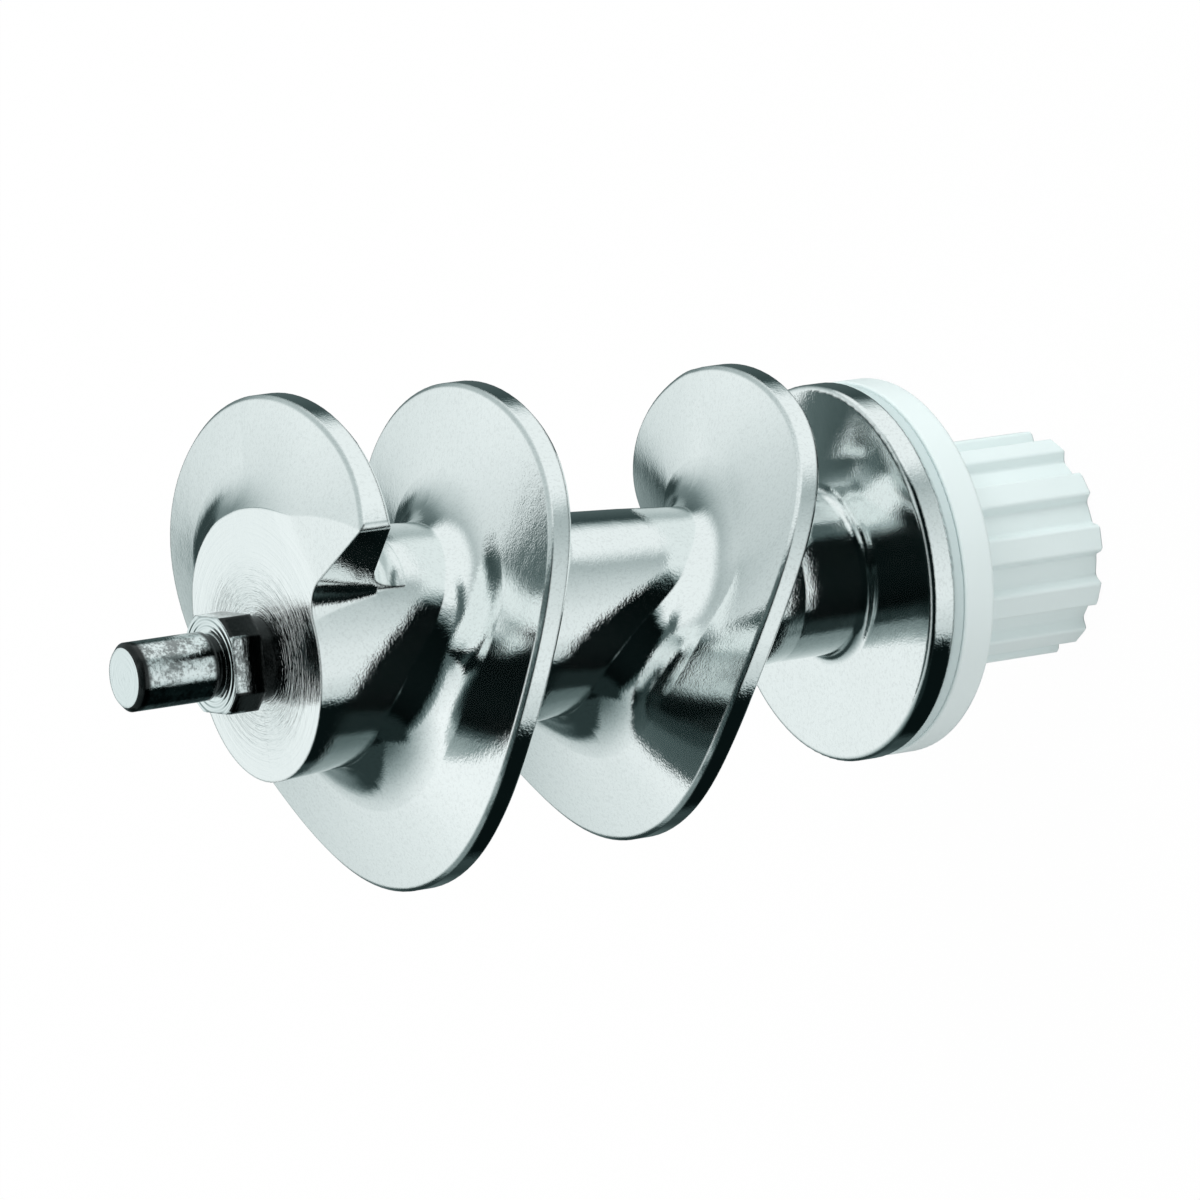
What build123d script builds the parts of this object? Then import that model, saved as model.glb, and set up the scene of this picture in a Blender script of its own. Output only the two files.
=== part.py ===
"""Feed screw of a household mincer, standing on the flat end of its drive stub.

Lengths are in millimetres and angles in degrees. The screw axis is Z, and heights are measured
up from the end of the drive stub. The knife spindle points up. Depth along the screw is measured
down from its front face.
"""
import math
import os

from build123d import *

# Stack of pieces along the axis
stub_length = 22.2
flange_thickness = 4.3
ring_thickness = 1.6
disc_thickness = 3.4
flight_length = 78.0

# Cast screw body
boss_radius = 14.4
waist_radius = 11.2
waist_depth = 50.0
neck_radius = 9.6
neck_depth = 69.0
disc_radius = 22.7
disc_root_fillet = 1.4
disc_front_round = 0.7
disc_rear_round = 0.4

# Helical flight, moulded between two dies that part along a plane through the axis
rim_radius_front = 30.1
rim_taper = 0.0562
rim_width = 3.1
rim_bevel = 0.45
parting_angle = 8.0
first_level = 3.45
first_step = 11.45
step_growth = 1.2
flight_start = -61.0
flight_end = 822.0
section_spacing = 12.0
runout_start = 786.0
runout_radius = 21.6
front_fillet = 7.0
front_fillet_first = 9.2
front_fillet_fade_start = 60.0
front_fillet_fade_end = 120.0
rear_fillet = 6.5
face_draft = 3.0
draw_reference = 18.0
rear_lead_share = 0.6
tip_lead = 2.9
tip_rear_lead = 1.9
tip_lead_end = 5.0
tip_widening = 1.0
tip_widening_end = -36.0
tip_drop = 0.45
tip_round = 0.7
tip_hollow_front = 4.2
tip_hollow_rear = 0.8
tip_hollow_depth = 9.5
toe_sink = 0.12
flight_inner_radius = 6.0
least_reach = 1.0
least_rim_width = 1.2
disc_back_cover = 0.6
trim_height = 20.0

# Square shank that carries the drive coupling, and the thread for its screw
shank_side = 12.0
shank_corner = 1.2
shank_end = 9.0
shank_end_chamfer = 0.6
shank_fit = 0.08
thread_radius = 2.5
thread_depth = 14.0

# Knife spindle, pressed into the front of the body
spindle_radius = 4.5
spindle_depth = 18.0
spindle_neck_radius = 5.0
spindle_neck_length = 2.3
seat_across_flats = 11.1
seat_corner_cut = 2.28
seat_length = 3.9
seat_angle = -2.7
seat_lead_radius = 6.1
seat_lead_reach = 1.0
relief_radius = 3.6
relief_length = 1.1
pilot_radius = 4.0
pilot_length = 17.5
pilot_chamfer = 0.55

# Sealing ring
ring_outer_radius = 22.3
ring_inner_radius = 9.0
ring_edge_round = 0.3

# Drive coupling
flange_radius = 22.6
flange_edge_round = 0.8
flange_front_round = 0.3
tooth_count = 12
tooth_tip_radius = 13.5
tooth_root_radius = 12.2
tooth_tip_width = 3.1
tooth_root_width = 4.3
tooth_edge_round = 0.45
tooth_angle = 2.0
stub_end_chamfer = 0.4
head_recess_radius = 5.6
head_recess_depth = 5.0
screw_hole_radius = 2.7

# Coupling screw
head_radius = 4.75
head_height = 3.6
head_round = 1.2
screw_length = 14.0
cross_width = 1.3
cross_span = 5.2
cross_depth = 2.2
cross_taper = 8.0
screw_point_chamfer = 0.6

# Heights that follow from the stack
flange_base = stub_length
flange_top = flange_base + flange_thickness
ring_top = flange_top + ring_thickness
disc_top = ring_top + disc_thickness
face_height = disc_top + flight_length


def level(step):
    """Depth of the flat where the flight crosses the parting plane for the given half turn."""
    return first_level + first_step * (step_growth**step - 1) / (step_growth - 1)


def rim_depth(angle):
    """Depth of the front edge of the rim, flat at the parting plane and steep between."""
    half_turns = (angle - parting_angle) / 180
    step = math.floor(half_turns)
    part = half_turns - step
    wave = 4 / 3 * math.sin(2 * math.pi * part) - math.sin(4 * math.pi * part) / 6
    blend = part - wave / (2 * math.pi)
    return level(step) + (level(step + 1) - level(step)) * blend


def core_radius(depth):
    """Radius of the tapered core at a depth."""
    if depth < waist_depth:
        return boss_radius + (waist_radius - boss_radius) * max(depth, 0) / waist_depth
    share = min((depth - waist_depth) / (neck_depth - waist_depth), 1)
    return waist_radius + (neck_radius - waist_radius) * share


def rim_radius(angle):
    """Radius of the rim, which shrinks to the rear and runs out against the collar."""
    radius = rim_radius_front - rim_taper * rim_depth(angle)
    if angle < runout_start:
        return radius
    share = (angle - runout_start) / (flight_end - runout_start)
    smooth = share * share * (3 - 2 * share)
    return radius + (runout_radius - radius) * smooth


def draw_lead(angle, radius):
    """Axial lead of the flight root over the rim, as the faces follow the draw of the dies."""
    phase = (angle - parting_angle) % 180
    if phase >= 90:
        across = draw_reference / radius * math.cos(math.radians(180 - phase))
        matching = angle + (180 - phase) - math.degrees(math.acos(across))
        return rim_depth(angle) - rim_depth(matching)
    at_parting = angle - phase
    matching = at_parting - math.degrees(math.acos(draw_reference / radius))
    fade = math.cos(math.radians(phase)) ** 2
    return (rim_depth(at_parting) - rim_depth(matching)) * fade


def tip_share(angle):
    """Share of the further lead of the root, which grows to the front end of the flight."""
    share = (tip_lead_end - angle) / (tip_lead_end - flight_start)
    return min(max(share, 0), 1)


def widening(angle):
    """Width that the rim gains in front, towards the front end of the flight."""
    share = max((tip_widening_end - angle) / (tip_widening_end - flight_start), 0)
    return tip_widening * share * share


def front_fillet_radius(angle):
    """Root fillet in front of the flight, largest on the first turn."""
    span = front_fillet_fade_end - front_fillet_fade_start
    share = min(max((angle - front_fillet_fade_start) / span, 0), 1)
    return front_fillet_first + (front_fillet - front_fillet_first) * share


def root_arc(outer, lean, toe, fillet, forward):
    """Toe, middle and face points of the root fillet on one side of the flight."""
    centre_x = toe + fillet
    run = (outer[0] - centre_x) * math.tan(lean) + fillet / math.cos(lean)
    centre_y = outer[1] + forward * run
    middle = (math.pi / 2 - lean) / 2
    toe_point = (toe, centre_y)
    middle_x = centre_x - fillet * math.cos(middle)
    middle_point = (middle_x, centre_y - forward * fillet * math.sin(middle))
    face_x = centre_x - fillet * math.sin(lean)
    face_point = (face_x, centre_y - forward * fillet * math.cos(lean))
    return toe_point, middle_point, face_point


def turned(angle):
    """Half plane through the axis at an angle, with the radius as X and the height as Y."""
    turn = math.radians(angle)
    radial = (math.cos(turn), math.sin(turn), 0)
    return Plane(origin=(0, 0, 0), x_dir=radial, z_dir=(math.sin(turn), -math.cos(turn), 0))


def flight_outline(angle):
    """Corner and arc points of the flight section in the half plane at an angle."""
    radius = rim_radius(angle)
    front = rim_depth(angle)
    rear = min(front + rim_width, flight_length + disc_thickness - disc_back_cover)
    front = min(front, rear - least_rim_width) - widening(angle)
    hollow = front_fillet_radius(angle)
    inner = radius - rim_bevel
    top = (inner, face_height - front)
    bottom = (inner, face_height - rear)
    reach = max(inner - draw_reference, least_reach)
    draft = math.tan(math.radians(face_draft))
    lead_front = max(draw_lead(angle, radius), 0) + tip_lead * tip_share(angle)
    lead_rear = rear_lead_share * max(draw_lead(angle + 90, radius), 0) + tip_rear_lead * tip_share(angle)
    lean_front = math.atan(lead_front / reach + draft)
    lean_rear = math.atan(lead_rear / reach + draft)
    toe_front = core_radius(front - hollow / 2) - toe_sink
    toe_rear = core_radius(rear + rear_fillet / 2) - toe_sink
    front_arc = root_arc(top, lean_front, toe_front, hollow, 1)
    rear_arc = root_arc(bottom, lean_rear, toe_rear, rear_fillet, -1)
    rim_top = (radius, top[1] - rim_bevel)
    rim_bottom = (radius, bottom[1] + rim_bevel)
    return front_arc, top, rim_top, rim_bottom, bottom, rear_arc


def tip_hollow(depth, hollow):
    """Section of the hollow between the end face of the flight and the core, at a depth."""
    core = core_radius(depth)
    along = math.sqrt(core * (core + 2 * hollow))
    foot = core / (core + hollow)
    centre = Vector(along, -hollow)
    towards_corner = (Vector(0, 1) - centre.normalized()).normalized()
    on_core = centre * foot
    return (along, 0), centre + towards_corner * hollow, on_core, (flight_inner_radius, 0)


# Screw body
tip_turn = math.radians(flight_start)
tip_way = Vector(math.cos(tip_turn), math.sin(tip_turn), 0)
with BuildPart() as screw_body:
    with BuildSketch(Plane.XZ):
        with BuildLine():
            Polyline(
                (0, face_height),
                (boss_radius, face_height),
                (waist_radius, face_height - waist_depth),
                (neck_radius, face_height - neck_depth),
                (neck_radius, disc_top),
                (disc_radius, disc_top),
                (disc_radius, ring_top),
                (0, ring_top),
                close=True,
            )
        make_face()
    revolve(axis=Axis.Z)
    disc_edges = screw_body.edges().filter_by(GeomType.CIRCLE)
    root_edge = disc_edges.filter_by(lambda e: abs(e.radius - neck_radius) < 0.01).sort_by(Axis.Z)[0]
    fillet(root_edge, radius=disc_root_fillet)
    rim_edges = screw_body.edges().filter_by(GeomType.CIRCLE)
    rim_edges = rim_edges.filter_by(lambda e: abs(e.radius - disc_radius) < 0.01).sort_by(Axis.Z)
    fillet(rim_edges[1], radius=disc_front_round)
    rim_edges = screw_body.edges().filter_by(GeomType.CIRCLE)
    rim_edges = rim_edges.filter_by(lambda e: abs(e.radius - disc_radius) < 0.01).sort_by(Axis.Z)
    fillet(rim_edges[0], radius=disc_rear_round)
    crossings = range(math.ceil((flight_end - parting_angle) / 180))
    joints = [flight_start] + [parting_angle + 180 * turn for turn in crossings] + [flight_end]
    for begin, finish in zip(joints[:-1], joints[1:]):
        with BuildPart(mode=Mode.ADD):
            count = math.ceil((finish - begin) / section_spacing)
            for index in range(count + 1):
                angle = begin + (finish - begin) * index / count
                front_arc, top, rim_top, rim_bottom, bottom, rear_arc = flight_outline(angle)
                front_inner = (flight_inner_radius, front_arc[0][1])
                rear_inner = (flight_inner_radius, rear_arc[0][1])
                with BuildSketch(turned(angle)):
                    with BuildLine():
                        Line(front_inner, front_arc[0])
                        ThreePointArc(*front_arc)
                        Line(front_arc[2], top)
                        Line(top, rim_top)
                        Line(rim_top, rim_bottom)
                        Line(rim_bottom, bottom)
                        Line(bottom, rear_arc[2])
                        ThreePointArc(rear_arc[2], rear_arc[1], rear_arc[0])
                        Line(rear_arc[0], rear_inner)
                        Line(rear_inner, front_inner)
                    make_face()
            loft()
    with BuildPart(mode=Mode.ADD):
        for depth, hollow in ((0, tip_hollow_front), (tip_hollow_depth, tip_hollow_rear)):
            on_face, in_hollow, on_core, inside = tip_hollow(depth, hollow)
            with BuildSketch(Plane((0, 0, face_height - depth), x_dir=tip_way, z_dir=(0, 0, 1))):
                with BuildLine():
                    Line(inside, on_face)
                    ThreePointArc(on_face, in_hollow, on_core)
                    Line(on_core, inside)
                make_face()
        loft()
    with BuildSketch(Plane.XY.offset(face_height)):
        Circle(2 * rim_radius_front)
    extrude(amount=trim_height, mode=Mode.SUBTRACT)
    tip_run = rim_radius_front - boss_radius
    slope_base = tip_way * boss_radius + Vector(0, 0, face_height)
    slope_up = tip_way * tip_drop + Vector(0, 0, tip_run)
    with BuildSketch(Plane(slope_base, z_dir=slope_up)):
        Circle(2 * rim_radius_front)
    extrude(amount=trim_height, mode=Mode.SUBTRACT)
    with BuildSketch(Plane.XY.offset(ring_top)):
        Circle(2 * rim_radius_front)
    extrude(amount=-trim_height, mode=Mode.SUBTRACT)
    tip_middle = rim_depth(flight_start) + rim_width / 2
    tip_end = tip_way * rim_radius(flight_start) + Vector(0, 0, face_height - tip_middle)
    tip_edges = screw_body.edges().sort_by_distance(tip_end)
    fillet(tip_edges[0], radius=tip_round)
    with BuildSketch(Plane.XY.offset(shank_end)):
        RectangleRounded(shank_side, shank_side, shank_corner)
    extrude(amount=ring_top - shank_end)
    chamfer(screw_body.faces().sort_by(Axis.Z)[0].edges(), length=shank_end_chamfer)
    with BuildSketch(Plane.XY.offset(shank_end)):
        Circle(thread_radius)
    extrude(amount=thread_depth, mode=Mode.SUBTRACT)
    with BuildSketch(Plane.XY.offset(face_height - spindle_depth)):
        Circle(spindle_radius)
    extrude(amount=spindle_depth, mode=Mode.SUBTRACT)

# Knife spindle: press fit shank, square knife seat with cut corners and round pilot pin
seat_base = face_height + spindle_neck_length
seat_top = seat_base + seat_length
with BuildPart() as knife_spindle:
    with BuildSketch(Plane.XY.offset(face_height - spindle_depth)):
        Circle(spindle_radius)
    extrude(amount=spindle_depth)
    with BuildSketch(Plane.XY.offset(face_height)):
        Circle(spindle_neck_radius)
    extrude(amount=spindle_neck_length)
    with BuildSketch(Plane.XY.offset(seat_base)) as seat_outline:
        Rectangle(seat_across_flats, seat_across_flats, rotation=seat_angle)
        chamfer(seat_outline.vertices(), length=seat_corner_cut)
    extrude(amount=seat_length)
    with BuildSketch(Plane.XZ):
        with BuildLine():
            Polyline(
                (seat_lead_radius, seat_top),
                (seat_lead_radius + seat_lead_reach, seat_top),
                (seat_lead_radius + seat_lead_reach, seat_top - seat_lead_reach),
                close=True,
            )
        make_face()
    revolve(axis=Axis.Z, mode=Mode.SUBTRACT)
    with BuildSketch(Plane.XY.offset(seat_top)):
        Circle(relief_radius)
    extrude(amount=relief_length)
    with BuildSketch(Plane.XY.offset(seat_top + relief_length)):
        Circle(pilot_radius)
    extrude(amount=face_height + pilot_length - seat_top - relief_length)
    chamfer(knife_spindle.edges().sort_by(Axis.Z)[-1], length=pilot_chamfer)

# Sealing ring between the metal disc and the coupling flange
with BuildPart() as sealing_ring:
    with BuildSketch(Plane.XY.offset(flange_top)):
        Circle(ring_outer_radius)
        Circle(ring_inner_radius, mode=Mode.SUBTRACT)
    extrude(amount=ring_thickness)
    ring_edges = sealing_ring.edges().filter_by(GeomType.CIRCLE)
    ring_edges = ring_edges.filter_by(lambda e: abs(e.radius - ring_outer_radius) < 0.01)
    fillet(ring_edges, radius=ring_edge_round)

# Drive coupling: flange and toothed stub in one moulding
with BuildPart() as drive_coupling:
    with BuildSketch(Plane.XY.offset(flange_base)):
        Circle(flange_radius)
    extrude(amount=flange_thickness)
    flange_edges = drive_coupling.edges().filter_by(GeomType.CIRCLE).sort_by(Axis.Z)
    fillet(flange_edges[0], radius=flange_edge_round)
    flange_edges = drive_coupling.edges().filter_by(GeomType.CIRCLE).sort_by(Axis.Z)
    fillet(flange_edges[-1], radius=flange_front_round)
    with BuildSketch(Plane.XY) as stub_outline:
        Circle(tooth_root_radius)
        with PolarLocations(0, tooth_count, start_angle=tooth_angle):
            Polygon(
                (tooth_root_radius - 1, -tooth_root_width / 2),
                (tooth_tip_radius, -tooth_tip_width / 2),
                (tooth_tip_radius, tooth_tip_width / 2),
                (tooth_root_radius - 1, tooth_root_width / 2),
                align=None,
            )
        fillet(stub_outline.vertices(), radius=tooth_edge_round)
    extrude(amount=stub_length)
    stub_end = drive_coupling.faces().sort_by(Axis.Z)[0]
    chamfer(stub_end.outer_wire().edges(), length=stub_end_chamfer)
    with BuildSketch(Plane.XY.offset(shank_end)):
        RectangleRounded(shank_side + 2 * shank_fit, shank_side + 2 * shank_fit, shank_corner)
    extrude(amount=flange_top - shank_end, mode=Mode.SUBTRACT)
    with BuildSketch(Plane.XY):
        Circle(head_recess_radius)
    extrude(amount=head_recess_depth, mode=Mode.SUBTRACT)
    with BuildSketch(Plane.XY):
        Circle(screw_hole_radius)
    extrude(amount=shank_end, mode=Mode.SUBTRACT)

# Coupling screw: pan head with a cross recess
with BuildPart() as coupling_screw:
    with BuildSketch(Plane.XY.offset(head_recess_depth - head_height)):
        Circle(head_radius)
    extrude(amount=head_height)
    fillet(coupling_screw.edges().sort_by(Axis.Z)[0], radius=head_round)
    with BuildSketch(Plane.XY.offset(head_recess_depth)):
        Circle(thread_radius)
    extrude(amount=screw_length)
    chamfer(coupling_screw.edges().sort_by(Axis.Z)[-1], length=screw_point_chamfer)
    with BuildSketch(Plane.XY.offset(head_recess_depth - head_height)):
        Rectangle(cross_span, cross_width)
        Rectangle(cross_width, cross_span)
    extrude(amount=cross_depth, taper=cross_taper, mode=Mode.SUBTRACT)

screw_body.part.label = "screw_body"
knife_spindle.part.label = "knife_spindle"
sealing_ring.part.label = "sealing_ring"
drive_coupling.part.label = "drive_coupling"
coupling_screw.part.label = "coupling_screw"

os.makedirs("parts", exist_ok=True)
export_step(screw_body.part, "parts/screw_body.step")
export_step(knife_spindle.part, "parts/knife_spindle.step")
export_step(sealing_ring.part, "parts/sealing_ring.step")
export_step(drive_coupling.part, "parts/drive_coupling.step")
export_step(coupling_screw.part, "parts/coupling_screw.step")
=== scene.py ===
"""Looks of a mincer feed screw: finishes for its pieces, a white studio and the camera."""

import math

import bpy
from bpy.props import FloatProperty, FloatVectorProperty, PointerProperty
from mathutils import Matrix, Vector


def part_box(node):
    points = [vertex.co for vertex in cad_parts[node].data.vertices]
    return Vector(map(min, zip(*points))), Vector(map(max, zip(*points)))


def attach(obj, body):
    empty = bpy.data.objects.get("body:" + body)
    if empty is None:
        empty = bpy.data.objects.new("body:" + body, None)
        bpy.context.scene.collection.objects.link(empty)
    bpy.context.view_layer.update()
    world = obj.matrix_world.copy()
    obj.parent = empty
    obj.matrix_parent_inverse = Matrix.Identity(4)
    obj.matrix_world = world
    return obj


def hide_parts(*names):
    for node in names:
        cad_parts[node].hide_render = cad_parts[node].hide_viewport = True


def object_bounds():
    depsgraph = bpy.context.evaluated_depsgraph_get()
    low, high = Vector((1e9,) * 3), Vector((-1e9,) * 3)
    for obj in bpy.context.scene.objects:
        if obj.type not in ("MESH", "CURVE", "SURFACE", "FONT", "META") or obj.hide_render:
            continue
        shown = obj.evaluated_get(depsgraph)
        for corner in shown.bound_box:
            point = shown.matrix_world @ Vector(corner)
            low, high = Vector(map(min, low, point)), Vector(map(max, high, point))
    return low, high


bl_info = {
    "name": "Mincer feed screw looks",
    "version": (1, 0, 0),
    "blender": (4, 5, 0),
    "location": "View3D > Sidebar > Feed screw",
    "description": "Finishes and studio for a mincer feed screw",
    "category": "Object",
}

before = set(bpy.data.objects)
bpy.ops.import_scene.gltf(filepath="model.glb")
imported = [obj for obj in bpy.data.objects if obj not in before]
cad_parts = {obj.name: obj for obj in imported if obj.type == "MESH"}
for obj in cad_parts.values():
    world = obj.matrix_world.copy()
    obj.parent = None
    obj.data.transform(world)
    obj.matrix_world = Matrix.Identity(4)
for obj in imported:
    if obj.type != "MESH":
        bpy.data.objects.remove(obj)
cad_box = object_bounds()

# Heights of the front face and along the spindle, in metres. The flats of the seat get a painted highlight
# in front of the start height below and a painted dark reflection behind it.
pin_length = 0.0103
pin_foot_to_painted_highlight_start = 0.0027
face_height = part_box("screw_body")[1].z
pin_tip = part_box("knife_spindle")[1].z
pin_foot = pin_tip - pin_length
# Height where the painted highlight on the seat's flats begins; behind it they are painted dark
painted_highlight_start = pin_foot - pin_foot_to_painted_highlight_start

# Camera that sees the screw as the photograph does
camera_place = (0.0623, -0.8017, 0.5500)
camera_right = (-0.1068, -0.5221, -0.8462)
camera_up = (0.9921, 0.0, -0.1252)
camera_back = (0.0654, -0.8529, 0.5180)

# Axes of the room that the metal mirrors, turned a little from those of the screw
room_above = (0.1228, 0.1989, 0.9723)
room_near = (0.0250, -0.9801, 0.1974)
room_side = camera_up

# Floor, a hair below the end that the screw stands on
floor_reach = 6.0
floor_height = -0.0001


class FeedScrewFinish(bpy.types.PropertyGroup):
    """Colours and finishes of the pieces."""

    casting_colour: FloatVectorProperty(
        name="Casting colour",
        description="Reflection colour of the polished casting",
        subtype="COLOR",
        size=3,
        min=0.0,
        max=1.0,
        default=(0.93, 0.96, 0.955),
    )
    machined_colour: FloatVectorProperty(
        name="Machined colour",
        description="Reflection colour of the turned front face",
        subtype="COLOR",
        size=3,
        min=0.0,
        max=1.0,
        default=(0.96, 0.985, 0.98),
    )
    polished_roughness: FloatProperty(
        name="Polished roughness",
        description="Roughness of the core, fillets and rim",
        default=0.03,
        min=0.0,
        max=1.0,
        subtype="FACTOR",
    )
    satin_roughness: FloatProperty(
        name="Satin roughness",
        description="Roughness of the broad faces of the flight",
        default=0.08,
        min=0.0,
        max=1.0,
        subtype="FACTOR",
    )
    edge_round: FloatProperty(
        name="Edge round",
        description="Radius that polishing leaves on the edges of the casting",
        default=0.00035,
        min=0.0,
        max=0.002,
        unit="LENGTH",
    )
    steel_colour: FloatVectorProperty(
        name="Spindle colour",
        description="Reflection colour of the turned spindle",
        subtype="COLOR",
        size=3,
        min=0.0,
        max=1.0,
        default=(0.60, 0.64, 0.64),
    )
    coupling_colour: FloatVectorProperty(
        name="Coupling colour",
        description="Colour of the moulded coupling",
        subtype="COLOR",
        size=3,
        min=0.0,
        max=1.0,
        default=(0.78, 0.88, 0.875),
    )
    ring_colour: FloatVectorProperty(
        name="Ring colour",
        description="Colour of the sealing ring",
        subtype="COLOR",
        size=3,
        min=0.0,
        max=1.0,
        default=(0.58, 0.70, 0.70),
    )


class FeedScrewStudio(bpy.types.PropertyGroup):
    """Light of the studio."""

    room_level: FloatProperty(
        name="Room level",
        description="Strength of the even light of the room",
        default=0.76,
        min=0.0,
        max=2.0,
    )
    key_power: FloatProperty(
        name="Key light",
        description="Power of the large soft light",
        default=3.0,
        min=0.0,
        max=100.0,
        unit="POWER",
    )
    fill_power: FloatProperty(
        name="Fill light",
        description="Power of the soft light from behind",
        default=1.2,
        min=0.0,
        max=100.0,
        unit="POWER",
    )


class FeedScrewThread(bpy.types.PropertyGroup):
    """Thread of the coupling screw."""

    start: FloatProperty(
        name="Start",
        description="Height of the underside of the head, where the thread begins",
        default=0.005,
        unit="LENGTH",
    )
    end: FloatProperty(
        name="End",
        description="Height of the point of the screw",
        default=0.019,
        unit="LENGTH",
    )
    pitch: FloatProperty(
        name="Pitch",
        description="Height that one turn of the thread climbs",
        default=0.0008,
        min=0.0002,
        unit="LENGTH",
    )
    crest_radius: FloatProperty(
        name="Crest radius",
        description="Outer radius of the thread",
        default=0.0025,
        min=0.0005,
        unit="LENGTH",
    )
    root_radius: FloatProperty(
        name="Root radius",
        description="Radius at the bottom of the thread",
        default=0.00205,
        min=0.0005,
        unit="LENGTH",
    )


class Graph:
    """Adds nodes to a tree with short calls."""

    def __init__(self, tree):
        self.tree = tree
        tree.nodes.clear()

    def node(self, kind, inputs=None, **settings):
        made = self.tree.nodes.new(kind)
        for name, value in settings.items():
            setattr(made, name, value)
        for name, value in (inputs or {}).items():
            self.feed(made.inputs[name], value)
        return made

    def feed(self, socket, value):
        if isinstance(value, bpy.types.NodeSocket):
            self.tree.links.new(value, socket)
        else:
            socket.default_value = value

    def math(self, operation, *values, clamp=False):
        made = self.node("ShaderNodeMath", operation=operation, use_clamp=clamp)
        for socket, value in zip(made.inputs, values):
            self.feed(socket, value)
        return made.outputs[0]

    def times(self, first, *others):
        for other in others:
            first = self.math("MULTIPLY", first, other)
        return first

    def inverse(self, share):
        return self.math("SUBTRACT", 1.0, share)

    def ramp(self, value, low, high, first=0.0, last=1.0):
        made = self.node("ShaderNodeMapRange", interpolation_type="SMOOTHSTEP")
        limits = {"Value": value, "From Min": low, "From Max": high, "To Min": first, "To Max": last}
        for name, number in limits.items():
            self.feed(made.inputs[name], number)
        return made.outputs["Result"]

    def ramp_line(self, value, low, high):
        made = self.node("ShaderNodeMapRange", {"Value": value, "From Min": low, "From Max": high})
        return made.outputs["Result"]

    def window(self, value, low, high, soft):
        """Share that is 1 between two limits and fades out over a soft border."""
        rises = self.ramp(value, low - soft, low + soft)
        falls = self.ramp(value, high - soft, high + soft, first=1.0, last=0.0)
        return self.times(rises, falls)

    def noise(self, vector, scale=1.0, detail=2.0, roughness=0.5):
        made = self.node("ShaderNodeTexNoise", {"Vector": vector, "Scale": scale, "Detail": detail})
        made.inputs["Roughness"].default_value = roughness
        return made.outputs["Fac"]

    def combine(self, x, y, z):
        made = self.node("ShaderNodeCombineXYZ", {"X": x, "Y": y, "Z": z})
        return made.outputs["Vector"]

    def dot(self, vector, direction):
        made = self.node("ShaderNodeVectorMath", operation="DOT_PRODUCT")
        self.feed(made.inputs[0], vector)
        made.inputs[1].default_value = direction
        return made.outputs["Value"]

    def bump(self, height, strength, depth, normal=None):
        made = self.node("ShaderNodeBump", {"Height": height, "Strength": strength, "Distance": depth})
        if normal is not None:
            self.feed(made.inputs["Normal"], normal)
        return made.outputs["Normal"]

    def rounded_edge(self, radius):
        return self.node("ShaderNodeBevel", {"Radius": radius}, samples=4).outputs["Normal"]

    def mix(self, share, first, last, data_type="RGBA"):
        made = self.node("ShaderNodeMix", data_type=data_type)
        self.feed(made.inputs["Factor"], share)
        self.feed(made.inputs["A"], first)
        self.feed(made.inputs["B"], last)
        return made.outputs["Result"]

    def level_mix(self, share, first, last):
        return self.mix(share, first, last, data_type="FLOAT")


def opaque(colour, share=1.0):
    """Colour with full alpha, darker or lighter by a share."""
    return (*(min(1.0, share * part) for part in colour), 1.0)


def new_material(name):
    material = bpy.data.materials.new(name)
    material.use_nodes = True
    graph = Graph(material.node_tree)
    shader = graph.node("ShaderNodeBsdfPrincipled")
    graph.node("ShaderNodeOutputMaterial", {"Surface": shader.outputs["BSDF"]})
    return material, graph, shader


def object_place(graph):
    return graph.node("ShaderNodeTexCoord").outputs["Object"]


def polar(graph):
    """Object position as it is, its radius, angle and height, and the upward part of the normal."""
    coordinates = graph.node("ShaderNodeTexCoord")
    place = coordinates.outputs["Object"]
    x, y, z = graph.node("ShaderNodeSeparateXYZ", {"Vector": place}).outputs
    radius = graph.math("SQRT", graph.math("MULTIPLY_ADD", y, y, graph.times(x, x)))
    angle = graph.math("ARCTAN2", y, x)
    normal = graph.node("ShaderNodeSeparateXYZ", {"Vector": coordinates.outputs["Normal"]})
    return place, radius, angle, z, normal.outputs["Z"]


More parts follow.
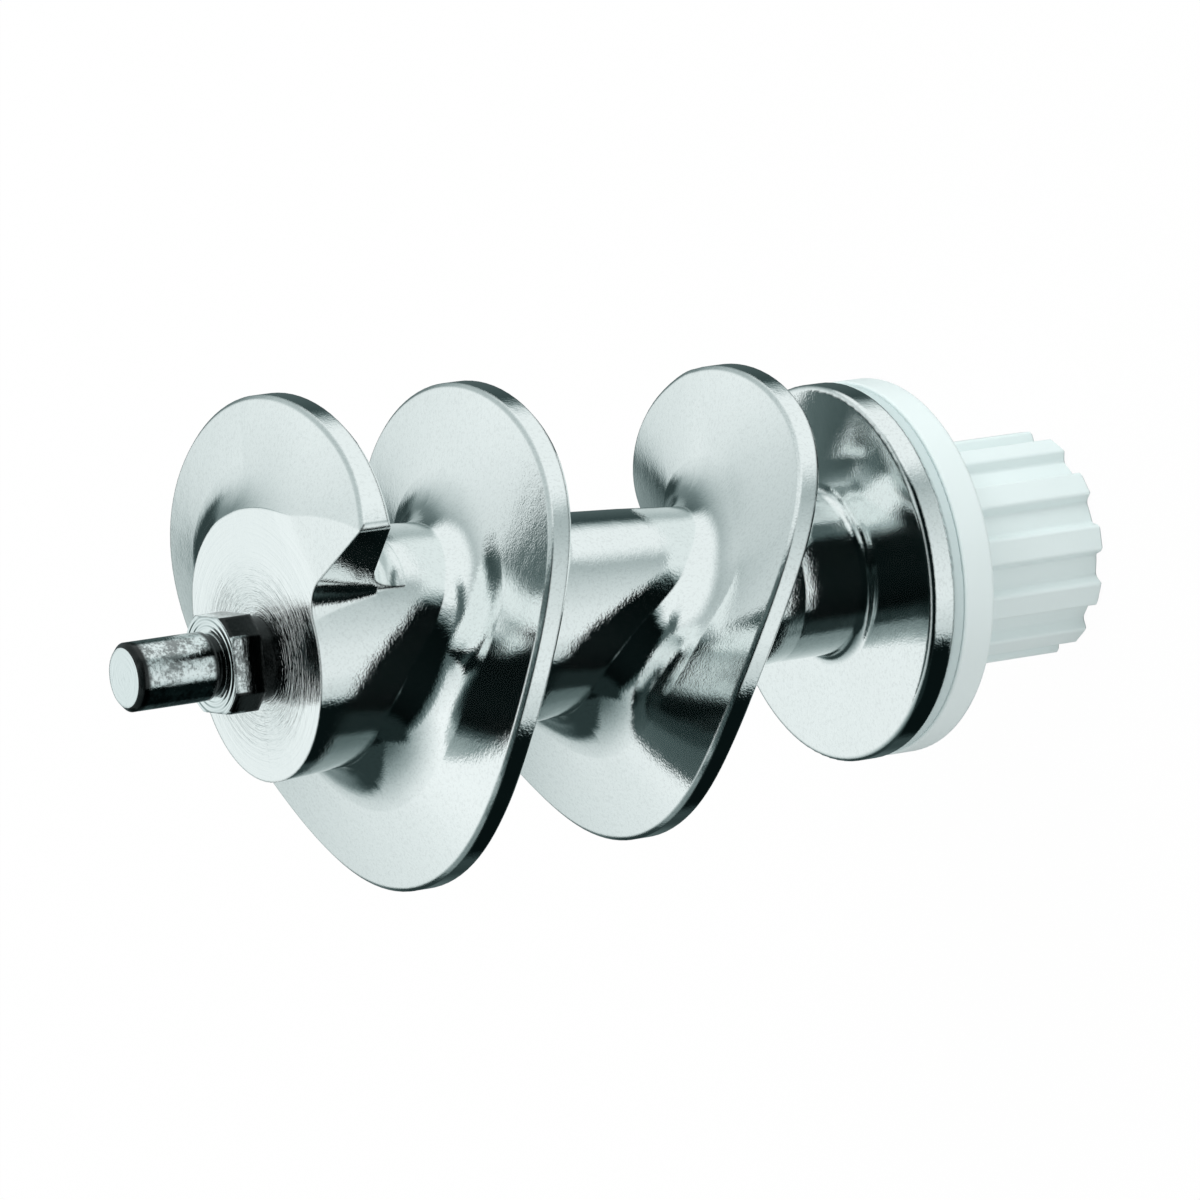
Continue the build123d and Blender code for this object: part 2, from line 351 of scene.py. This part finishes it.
def casting_material(finish):
    """Polished casting with satin broad faces and a turned front face."""
    material, graph, shader = new_material("polished_casting")
    place, radius, angle, height, facing = polar(graph)
    shader.inputs["Metallic"].default_value = 1.0
    broad = graph.ramp(graph.math("ABSOLUTE", facing), low=0.72, high=0.94)
    front = graph.ramp(height, low=face_height - 0.00012, high=face_height - 0.00004)
    near_seat = graph.ramp(radius, low=0.0065, high=0.0135, first=1.0, last=0.2)
    cloud = graph.noise(place, scale=90.0, detail=3.0, roughness=0.55)
    sand = graph.noise(place, scale=2400.0, roughness=0.7)
    grain = graph.noise(place, scale=3400.0, roughness=0.6)
    orange_peel = graph.noise(place, scale=420.0)
    stroke_place = graph.combine(graph.times(radius, 2200.0), angle, height)
    strokes = graph.noise(stroke_place, detail=3.0, roughness=0.6)
    ring_place = graph.combine(graph.times(radius, 1900.0), graph.times(angle, 0.8), 0.0)
    rings = graph.noise(ring_place, detail=4.0, roughness=0.7)
    gloss = finish.polished_roughness
    polished = graph.ramp(cloud, low=0.3, high=0.7, first=0.8 * gloss, last=1.3 * gloss)
    sheen = finish.satin_roughness
    satin = graph.ramp(cloud, low=0.3, high=0.7, first=0.85 * sheen, last=1.15 * sheen)
    graph.feed(shader.inputs["Roughness"], graph.level_mix(broad, polished, satin))
    colour = finish.casting_colour
    cast = graph.mix(cloud, opaque(colour), opaque(colour, 0.95))
    cast = graph.mix(graph.ramp(sand, low=0.46, high=0.70), cast, opaque(colour, 0.89))
    graph.feed(shader.inputs["Base Color"], graph.mix(front, cast, opaque(finish.machined_colour)))
    normal = graph.rounded_edge(finish.edge_round)
    normal = graph.bump(orange_peel, strength=0.04, depth=0.0005, normal=normal)
    normal = graph.bump(grain, strength=0.11, depth=0.00012, normal=normal)
    normal = graph.bump(graph.times(strokes, broad, 0.5), strength=0.10, depth=0.0001, normal=normal)
    normal = graph.bump(graph.times(rings, front, near_seat), strength=0.7, depth=0.0004, normal=normal)
    graph.feed(shader.inputs["Normal"], normal)
    return material


def spindle_material(finish):
    """Turned steel with painted light: painted highlights on the pin, its upward faces and the front of the
    seat's flats, and painted dark reflections on the rest of its sides.
    """
    material, graph, shader = new_material("turned_steel")
    place, radius, angle, height, facing = polar(graph)
    shader.inputs["Metallic"].default_value = 1.0
    end = graph.ramp(facing, low=0.8, high=0.98)
    side = graph.inverse(end)
    shoulder = graph.ramp(radius, low=0.0041, high=0.0045)
    pin_end = graph.times(end, graph.inverse(shoulder))
    cloud = graph.noise(place, scale=350.0, detail=3.0, roughness=0.6)
    speckle = graph.noise(place, scale=2200.0, detail=3.0, roughness=0.65)
    mark_place = graph.combine(graph.times(height, 1900.0), graph.times(angle, 1.6), 0.0)
    marks = graph.noise(mark_place, detail=4.0, roughness=0.65)
    ring_place = graph.combine(graph.times(radius, 2600.0), graph.times(angle, 0.8), 5.0)
    fine_rings = graph.noise(ring_place, detail=3.0, roughness=0.6)
    groove_spacing = 0.00075
    grooves = graph.math("SINE", graph.times(radius, 2.0 * math.pi / groove_spacing))
    graph.feed(shader.inputs["Roughness"], graph.ramp(cloud, low=0.25, high=0.75, first=0.03, last=0.08))
    # Painted light in the base colour: near black is a painted dark reflection on the pin's foot, the edge
    # at its tip, and the back and other flats of the seat. A bright mottle is a painted highlight on the
    # rest of the pin and on the front of some flats, and upward faces are painted bright.
    colour = finish.steel_colour
    painted_dark_reflection = opaque(colour, 0.07)
    dark = opaque(colour, 0.45)
    bright = opaque(colour, 1.4)
    mottle = graph.times(graph.math("ADD", speckle, cloud), 0.5)
    painted_highlight = graph.mix(graph.ramp(mottle, low=0.42, high=0.58), dark, bright)
    # Where the painted highlight falls: some flats by their angle, the seat in front of the start height,
    # and the pin between its foot and its tip edge
    flats = graph.ramp(graph.math("COSINE", graph.times(angle, 4.0)), low=-0.6, high=-0.5)
    seat_front = graph.ramp(height, low=painted_highlight_start - 0.0006, high=painted_highlight_start + 0.0006)
    pin_painted_highlight = graph.window(height, low=pin_foot + 0.0006, high=pin_tip - 0.0013, soft=0.0003)
    painted_highlight_share = graph.level_mix(shoulder, pin_painted_highlight, graph.times(flats, seat_front))
    graph.feed(shader.inputs["Base Color"], graph.mix(end, graph.mix(painted_highlight_share, painted_dark_reflection, painted_highlight), bright))
    normal = graph.rounded_edge(0.0005)
    normal = graph.bump(graph.times(marks, side), strength=0.14, depth=0.00012, normal=normal)
    normal = graph.bump(graph.times(speckle, side), strength=0.16, depth=0.00010, normal=normal)
    normal = graph.bump(graph.times(fine_rings, pin_end), strength=0.45, depth=0.00012, normal=normal)
    normal = graph.bump(graph.times(grooves, end, shoulder), strength=0.8, depth=0.00006, normal=normal)
    graph.feed(shader.inputs["Normal"], normal)
    return material


def plastic_material(name, colour, roughness):
    """Moulded plastic with a faint skin."""
    material, graph, shader = new_material(name)
    place = object_place(graph)
    cloud = graph.noise(place, scale=120.0, detail=3.0)
    skin = graph.noise(place, scale=1800.0)
    graph.feed(shader.inputs["Base Color"], graph.mix(cloud, opaque(colour), opaque(colour, 0.96)))
    dullness = graph.ramp(cloud, low=0.3, high=0.7, first=0.9 * roughness, last=1.1 * roughness)
    graph.feed(shader.inputs["Roughness"], dullness)
    shader.inputs["IOR"].default_value = 1.49
    graph.feed(shader.inputs["Normal"], graph.bump(skin, strength=0.08, depth=0.0001))
    return material


def screw_material():
    """Plated steel with a cloudy sheen."""
    material, graph, shader = new_material("plated_screw")
    cloud = graph.noise(object_place(graph), scale=500.0, detail=3.0, roughness=0.6)
    shader.inputs["Metallic"].default_value = 1.0
    plating = graph.mix(cloud, (0.62, 0.63, 0.62, 1.0), (0.5, 0.51, 0.5, 1.0))
    graph.feed(shader.inputs["Base Color"], plating)
    graph.feed(shader.inputs["Roughness"], graph.ramp(cloud, low=0.3, high=0.7, first=0.25, last=0.4))
    graph.feed(shader.inputs["Normal"], graph.bump(cloud, strength=0.1, depth=0.0001))
    return material


def thread_tree():
    """Node group that swaps the plain shank of a screw for a helical thread."""
    tree = bpy.data.node_groups.new("screw_thread", "GeometryNodeTree")
    sockets = tree.interface
    sockets.new_socket("Geometry", in_out="INPUT", socket_type="NodeSocketGeometry")
    for name in ("Start", "End", "Pitch", "Crest radius", "Root radius"):
        sockets.new_socket(name, in_out="INPUT", socket_type="NodeSocketFloat")
    sockets.new_socket("Material", in_out="INPUT", socket_type="NodeSocketMaterial")
    sockets.new_socket("Geometry", in_out="OUTPUT", socket_type="NodeSocketGeometry")
    graph = Graph(tree)
    given = graph.node("NodeGroupInput").outputs
    start, end, pitch = given["Start"], given["End"], given["Pitch"]
    crest, root = given["Crest radius"], given["Root radius"]
    weld = 0.00001
    steps_around = 48
    rows_per_turn = 6.0
    point_length = 0.0006
    place = graph.node("GeometryNodeInputPosition").outputs["Position"]
    x, y, z = graph.node("ShaderNodeSeparateXYZ", {"Vector": place}).outputs
    shank = graph.math("GREATER_THAN", z, graph.math("ADD", start, weld))
    joined = graph.node("GeometryNodeMergeByDistance", {"Distance": 0.1 * weld})
    graph.feed(joined.inputs["Geometry"], given["Geometry"])
    head = graph.node("GeometryNodeDeleteGeometry", domain="FACE")
    graph.feed(head.inputs["Geometry"], joined.outputs["Geometry"])
    graph.feed(head.inputs["Selection"], shank)
    # A sheet that is wound round the axis, with a turn to spare at each end
    turns = graph.math("CEIL", graph.math("DIVIDE", graph.math("SUBTRACT", end, start), pitch))
    rows = graph.times(graph.math("ADD", turns, 2.0), rows_per_turn)
    sheet = graph.node("GeometryNodeMeshGrid", {"Size X": 1.0, "Size Y": 1.0})
    graph.feed(sheet.inputs["Vertices X"], steps_around + 1)
    graph.feed(sheet.inputs["Vertices Y"], graph.math("ADD", rows, 1.0))
    around = graph.math("ADD", x, 0.5)
    row = graph.math("ROUND", graph.times(graph.math("ADD", y, 0.5), rows))
    climb = graph.math("ADD", graph.math("DIVIDE", row, rows_per_turn), graph.math("SUBTRACT", around, 1.0))
    free_height = graph.math("MULTIPLY_ADD", climb, pitch, start)
    height = graph.math("MINIMUM", graph.math("MAXIMUM", free_height, start), end)
    # A flat crest between sloping flanks
    row_in_turn = graph.math("MODULO", row, rows_per_turn)
    from_crest = graph.math("ABSOLUTE", graph.math("SUBTRACT", row_in_turn, 0.5 * rows_per_turn))
    ridge = graph.math("DIVIDE", graph.math("SUBTRACT", 2.5, from_crest), 1.5, clamp=True)
    radius = graph.math("MULTIPLY_ADD", ridge, graph.math("SUBTRACT", crest, root), root)
    point_start = graph.math("SUBTRACT", end, point_length)
    into_point = graph.math("MAXIMUM", graph.math("SUBTRACT", height, point_start), 0.0)
    radius = graph.math("MINIMUM", radius, graph.math("SUBTRACT", crest, into_point))
    # The spare rows close the sheet against the head and across the point
    before = graph.math("LESS_THAN", free_height, start)
    radius = graph.math("MAXIMUM", radius, graph.times(before, crest))
    past = graph.math("GREATER_THAN", free_height, end)
    radius = graph.times(radius, graph.inverse(past))
    angle = graph.times(around, 2.0 * math.pi)
    across = graph.times(radius, graph.math("COSINE", angle))
    along = graph.times(radius, graph.math("SINE", angle))
    wound = graph.node("GeometryNodeSetPosition", {"Geometry": sheet.outputs["Mesh"]})
    graph.feed(wound.inputs["Position"], graph.combine(across, along, height))
    welded = graph.node("GeometryNodeMergeByDistance", {"Distance": weld})
    graph.feed(welded.inputs["Geometry"], wound.outputs["Geometry"])
    whole = graph.node("GeometryNodeJoinGeometry")
    tree.links.new(head.outputs["Geometry"], whole.inputs["Geometry"])
    tree.links.new(welded.outputs["Geometry"], whole.inputs["Geometry"])
    real = graph.node("GeometryNodeRealizeInstances", {"Geometry": whole.outputs["Geometry"]})
    plated = graph.node("GeometryNodeSetMaterial", {"Geometry": real.outputs["Geometry"]})
    graph.feed(plated.inputs["Material"], given["Material"])
    graph.node("NodeGroupOutput", {"Geometry": plated.outputs["Geometry"]})
    return tree


def threaded_screw(thread, material):
    """Copy of the coupling screw with its thread cut."""
    blank = bpy.data.objects.new("threaded_screw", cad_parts["coupling_screw"].data.copy())
    bpy.context.scene.collection.objects.link(blank)
    tree = thread_tree()
    values = {
        "Start": thread.start,
        "End": thread.end,
        "Pitch": thread.pitch,
        "Crest radius": thread.crest_radius,
        "Root radius": thread.root_radius,
        "Material": material,
    }
    modifier = blank.modifiers.new("thread", "NODES")
    modifier.node_group = tree
    for item in tree.interface.items_tree:
        if item.in_out == "INPUT" and item.name in values:
            modifier[item.identifier] = values[item.name]
    bpy.context.view_layer.update()
    evaluated = blank.evaluated_get(bpy.context.evaluated_depsgraph_get())
    mesh = bpy.data.meshes.new_from_object(evaluated)
    blank.modifiers.clear()
    blank.data = mesh
    fewest_faces = 3000
    if len(mesh.polygons) < fewest_faces:
        raise RuntimeError("The thread of the coupling screw was not made")
    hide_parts("coupling_screw")
    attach(blank, "root")
    return blank


def dress(node, material):
    """Give a CAD node one material."""
    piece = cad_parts[node]
    piece.data.materials.clear()
    piece.data.materials.append(material)


def card(name, corners, material):
    """Flat stage card through four corners."""
    mesh = bpy.data.meshes.new(name)
    mesh.from_pydata(corners, [], [(0, 1, 2, 3)])
    mesh.materials.append(material)
    made = bpy.data.objects.new(name, mesh)
    bpy.context.scene.collection.objects.link(made)
    return made


class OBJECT_OT_feed_screw_body(bpy.types.Operator):
    """Give the cast screw body its polished finish"""

    bl_idname = "object.feed_screw_body"
    bl_label = "Screw body"

    def execute(self, context):
        dress("screw_body", casting_material(context.scene.feed_screw_finish))
        return {"FINISHED"}


class OBJECT_OT_feed_screw_spindle(bpy.types.Operator):
    """Give the knife spindle its turned finish"""

    bl_idname = "object.feed_screw_spindle"
    bl_label = "Knife spindle"

    def execute(self, context):
        dress("knife_spindle", spindle_material(context.scene.feed_screw_finish))
        return {"FINISHED"}


class OBJECT_OT_feed_screw_plastics(bpy.types.Operator):
    """Give the coupling and the sealing ring their moulded finish"""

    bl_idname = "object.feed_screw_plastics"
    bl_label = "Coupling and ring"

    def execute(self, context):
        finish = context.scene.feed_screw_finish
        coupling = plastic_material("coupling_plastic", finish.coupling_colour, roughness=0.42)
        ring = plastic_material("ring_plastic", finish.ring_colour, roughness=0.5)
        dress("drive_coupling", coupling)
        dress("sealing_ring", ring)
        return {"FINISHED"}


class OBJECT_OT_feed_screw_fastener(bpy.types.Operator):
    """Cut the thread of the coupling screw and give it its plated finish"""

    bl_idname = "object.feed_screw_fastener"
    bl_label = "Coupling screw"

    def execute(self, context):
        threaded_screw(context.scene.feed_screw_thread, screw_material())
        return {"FINISHED"}


def floor_material():
    """White to the camera with a trace of shadow, and clear from below."""
    material = bpy.data.materials.new("studio_floor")
    material.use_nodes = True
    graph = Graph(material.node_tree)
    path = graph.node("ShaderNodeLightPath")
    white = graph.node("ShaderNodeEmission", {"Color": (1.0, 1.0, 1.0, 1.0), "Strength": 1.0})
    paint = graph.node("ShaderNodeBsdfDiffuse", {"Color": (0.9, 0.9, 0.9, 1.0)})
    white_share = 0.975
    seen = graph.times(path.outputs["Is Camera Ray"], white_share)
    seen = graph.math("MAXIMUM", seen, path.outputs["Is Glossy Ray"])
    seen = graph.math("MAXIMUM", seen, path.outputs["Is Transmission Ray"])
    both = graph.node("ShaderNodeMixShader", {"Fac": seen})
    graph.tree.links.new(paint.outputs[0], both.inputs[1])
    graph.tree.links.new(white.outputs[0], both.inputs[2])
    clear = graph.node("ShaderNodeBsdfTransparent")
    under = graph.node("ShaderNodeNewGeometry").outputs["Backfacing"]
    one_sided = graph.node("ShaderNodeMixShader", {"Fac": under})
    graph.tree.links.new(both.outputs[0], one_sided.inputs[1])
    graph.tree.links.new(clear.outputs[0], one_sided.inputs[2])
    graph.node("ShaderNodeOutputMaterial", {"Surface": one_sided.outputs[0]})
    return material


# Brightness of the mirrored room: pairs of degrees and level
room_by_turn = (
    (-180, 0.05),
    (-140, 0.08),
    (-120, 0.11),
    (-100, 0.15),
    (-80, 0.30),
    (-60, 0.80),
    (-40, 0.97),
    (-20, 1.00),
    (10, 1.00),
    (31, 0.86),
    (37, 0.26),
    (45, 0.10),
    (50, 0.006),
    (122, 0.006),
    (127, 0.86),
    (164, 0.86),
    (174, 0.05),
    (180, 0.05),
)
room_by_rise = (
    (-90, 0.05),
    (-70, 0.18),
    (-50, 0.42),
    (-30, 0.74),
    (-12, 1.00),
    (6, 0.96),
    (30, 0.74),
    (50, 0.48),
    (90, 0.48),
)


def level_curve(graph, angle, half_range, levels):
    """Level that follows an angle through a list of degrees and levels."""
    share = graph.ramp_line(angle, -half_range, half_range)
    made = graph.node("ShaderNodeValToRGB", {"Fac": share})
    stops = made.color_ramp.elements
    for number, (degrees, level) in enumerate(levels):
        place = (degrees + half_range) / (2 * half_range)
        stop = stops[number] if number < 2 else stops.new(place)
        stop.position = place
        stop.color = (level, level, level, 1.0)
    return made.outputs["Color"]


def mirrored_room(graph):
    """Brightness of the room that the metal mirrors, by direction.

    The turn is 0 nearly straight above the standing screw, grows towards the viewer
    and is negative towards the back. The rise grows towards +X.
    """
    way = graph.node("ShaderNodeTexCoord").outputs["Generated"]
    above = graph.dot(way, room_above)
    near = graph.dot(way, room_near)
    turn = graph.math("DEGREES", graph.math("ARCTAN2", near, above))
    rise = graph.math("DEGREES", graph.math("ARCSINE", graph.dot(way, room_side)))
    walls = level_curve(graph, turn, 180, room_by_turn)
    heights = level_curve(graph, rise, 90, room_by_rise)
    level = graph.times(walls, heights)
    behind = graph.window(turn, low=-90.0, high=-70.0, soft=4.0)
    behind = graph.times(behind, graph.window(rise, low=-9.0, high=9.0, soft=4.0))
    level = graph.level_mix(behind, level, 0.05)
    low_behind = graph.window(turn, low=-125.0, high=-66.0, soft=6.0)
    low_behind = graph.times(low_behind, graph.ramp(rise, low=-32.0, high=-18.0, first=1.0, last=0.0))
    level = graph.level_mix(low_behind, level, 0.04)
    below = graph.inverse(graph.window(turn, low=-130.0, high=124.0, soft=4.0))
    below = graph.times(below, graph.ramp(rise, low=-34.0, high=-29.0, first=1.0, last=0.0))
    level = graph.level_mix(below, level, 0.006)
    low_near = graph.ramp(turn, low=5.0, high=25.0)
    low_near = graph.times(low_near, graph.ramp(rise, low=-62.0, high=-50.0, first=1.0, last=0.0))
    level = graph.level_mix(low_near, level, 0.02)
    level = graph.level_mix(graph.ramp(rise, low=44.0, high=58.0), level, 0.92)
    arc = graph.window(turn, low=22.0, high=46.0, soft=5.0)
    arc = graph.times(arc, graph.window(rise, low=26.0, high=62.0, soft=6.0))
    return graph.level_mix(arc, level, 0.12)


def studio_world(studio):
    """White to the camera, an even light on the pieces and a room for mirrored rays."""
    world = bpy.data.worlds.new("white_studio")
    world.use_nodes = True
    graph = Graph(world.node_tree)
    path = graph.node("ShaderNodeLightPath")
    level = mirrored_room(graph)
    # The dark sides of the room lean to blue-green
    red_falloff = 1.14
    red_share = 0.95
    red = graph.times(graph.math("POWER", level, red_falloff), red_share)
    tint = graph.node("ShaderNodeCombineColor", {"Red": red, "Green": level, "Blue": level})
    mirrored = graph.node("ShaderNodeBackground", {"Color": tint.outputs["Color"], "Strength": 1.0})
    room = graph.node("ShaderNodeBackground", {"Color": (1.0, 1.0, 1.0, 1.0), "Strength": studio.room_level})
    white = graph.node("ShaderNodeBackground", {"Color": (1.0, 1.0, 1.0, 1.0), "Strength": 1.0})
    glossy = graph.node("ShaderNodeMixShader", {"Fac": path.outputs["Is Glossy Ray"]})
    graph.tree.links.new(room.outputs[0], glossy.inputs[1])
    graph.tree.links.new(mirrored.outputs[0], glossy.inputs[2])
    seen = graph.node("ShaderNodeMixShader", {"Fac": path.outputs["Is Camera Ray"]})
    graph.tree.links.new(glossy.outputs[0], seen.inputs[1])
    graph.tree.links.new(white.outputs[0], seen.inputs[2])
    graph.node("ShaderNodeOutputWorld", {"Surface": seen.outputs[0]})
    bpy.context.scene.world = world


def soft_light(name, place, target, size, power):
    """Square lamp that faces a target and isn't mirrored."""
    data = bpy.data.lights.new(name, "AREA")
    data.shape = "SQUARE"
    data.size = size
    data.energy = power
    lamp = bpy.data.objects.new(name, data)
    bpy.context.scene.collection.objects.link(lamp)
    lamp.location = place
    aim = target - lamp.location
    lamp.rotation_euler = aim.to_track_quat("-Z", "Y").to_euler()
    lamp.visible_glossy = False
    return lamp


class OBJECT_OT_feed_screw_stage(bpy.types.Operator):
    """Set up the floor, the room, the lights and the camera"""

    bl_idname = "object.feed_screw_stage"
    bl_label = "Studio"

    def execute(self, context):
        scene = context.scene
        studio = scene.feed_screw_studio
        scene.view_settings.view_transform = "Standard"
        sides = ((-1, -1), (1, -1), (1, 1), (-1, 1))
        corners = [(floor_reach * x, floor_reach * y, floor_height) for x, y in sides]
        floor = card("floor", corners, floor_material())
        floor.visible_glossy = False
        studio_world(studio)
        middle = (cad_box[0] + cad_box[1]) / 2
        key_place = (0.7, -0.25, 0.45)
        fill_place = (0.1, 0.7, 0.5)
        soft_light("key_light", key_place, middle, size=0.5, power=studio.key_power)
        soft_light("fill_light", fill_place, middle, size=0.6, power=studio.fill_power)
        data = bpy.data.cameras.new("camera")
        data.sensor_width = 36.0
        data.lens = 240.0
        data.clip_start = 0.01
        data.clip_end = 50.0
        camera = bpy.data.objects.new("camera", data)
        scene.collection.objects.link(camera)
        turn = Matrix((camera_right, camera_up, camera_back)).transposed()
        turn = turn.to_quaternion().normalized().to_matrix()
        camera.matrix_world = Matrix.Translation(camera_place) @ turn.to_4x4()
        scene.camera = camera
        return {"FINISHED"}


class VIEW3D_PT_feed_screw(bpy.types.Panel):
    """Feed screw looks"""

    bl_label = "Feed screw"
    bl_idname = "VIEW3D_PT_feed_screw"
    bl_space_type = "VIEW_3D"
    bl_region_type = "UI"
    bl_category = "Feed screw"

    def draw(self, context):
        layout = self.layout
        scene = context.scene
        for group in (scene.feed_screw_finish, scene.feed_screw_thread, scene.feed_screw_studio):
            box = layout.box()
            for name in group.__annotations__:
                box.prop(group, name)
        for operator in operators:
            layout.operator(operator.bl_idname)


operators = (
    OBJECT_OT_feed_screw_body,
    OBJECT_OT_feed_screw_spindle,
    OBJECT_OT_feed_screw_plastics,
    OBJECT_OT_feed_screw_fastener,
    OBJECT_OT_feed_screw_stage,
)
classes = (FeedScrewFinish, FeedScrewStudio, FeedScrewThread, *operators, VIEW3D_PT_feed_screw)


def register():
    for kind in classes:
        bpy.utils.register_class(kind)
    bpy.types.Scene.feed_screw_finish = PointerProperty(type=FeedScrewFinish)
    bpy.types.Scene.feed_screw_studio = PointerProperty(type=FeedScrewStudio)
    bpy.types.Scene.feed_screw_thread = PointerProperty(type=FeedScrewThread)


def unregister():
    del bpy.types.Scene.feed_screw_thread
    del bpy.types.Scene.feed_screw_studio
    del bpy.types.Scene.feed_screw_finish
    for kind in reversed(classes):
        bpy.utils.unregister_class(kind)


def main():
    register()
    bpy.ops.object.feed_screw_body()
    bpy.ops.object.feed_screw_spindle()
    bpy.ops.object.feed_screw_plastics()
    bpy.ops.object.feed_screw_fastener()
    bpy.ops.object.feed_screw_stage()


if __name__ == "__main__":
    main()
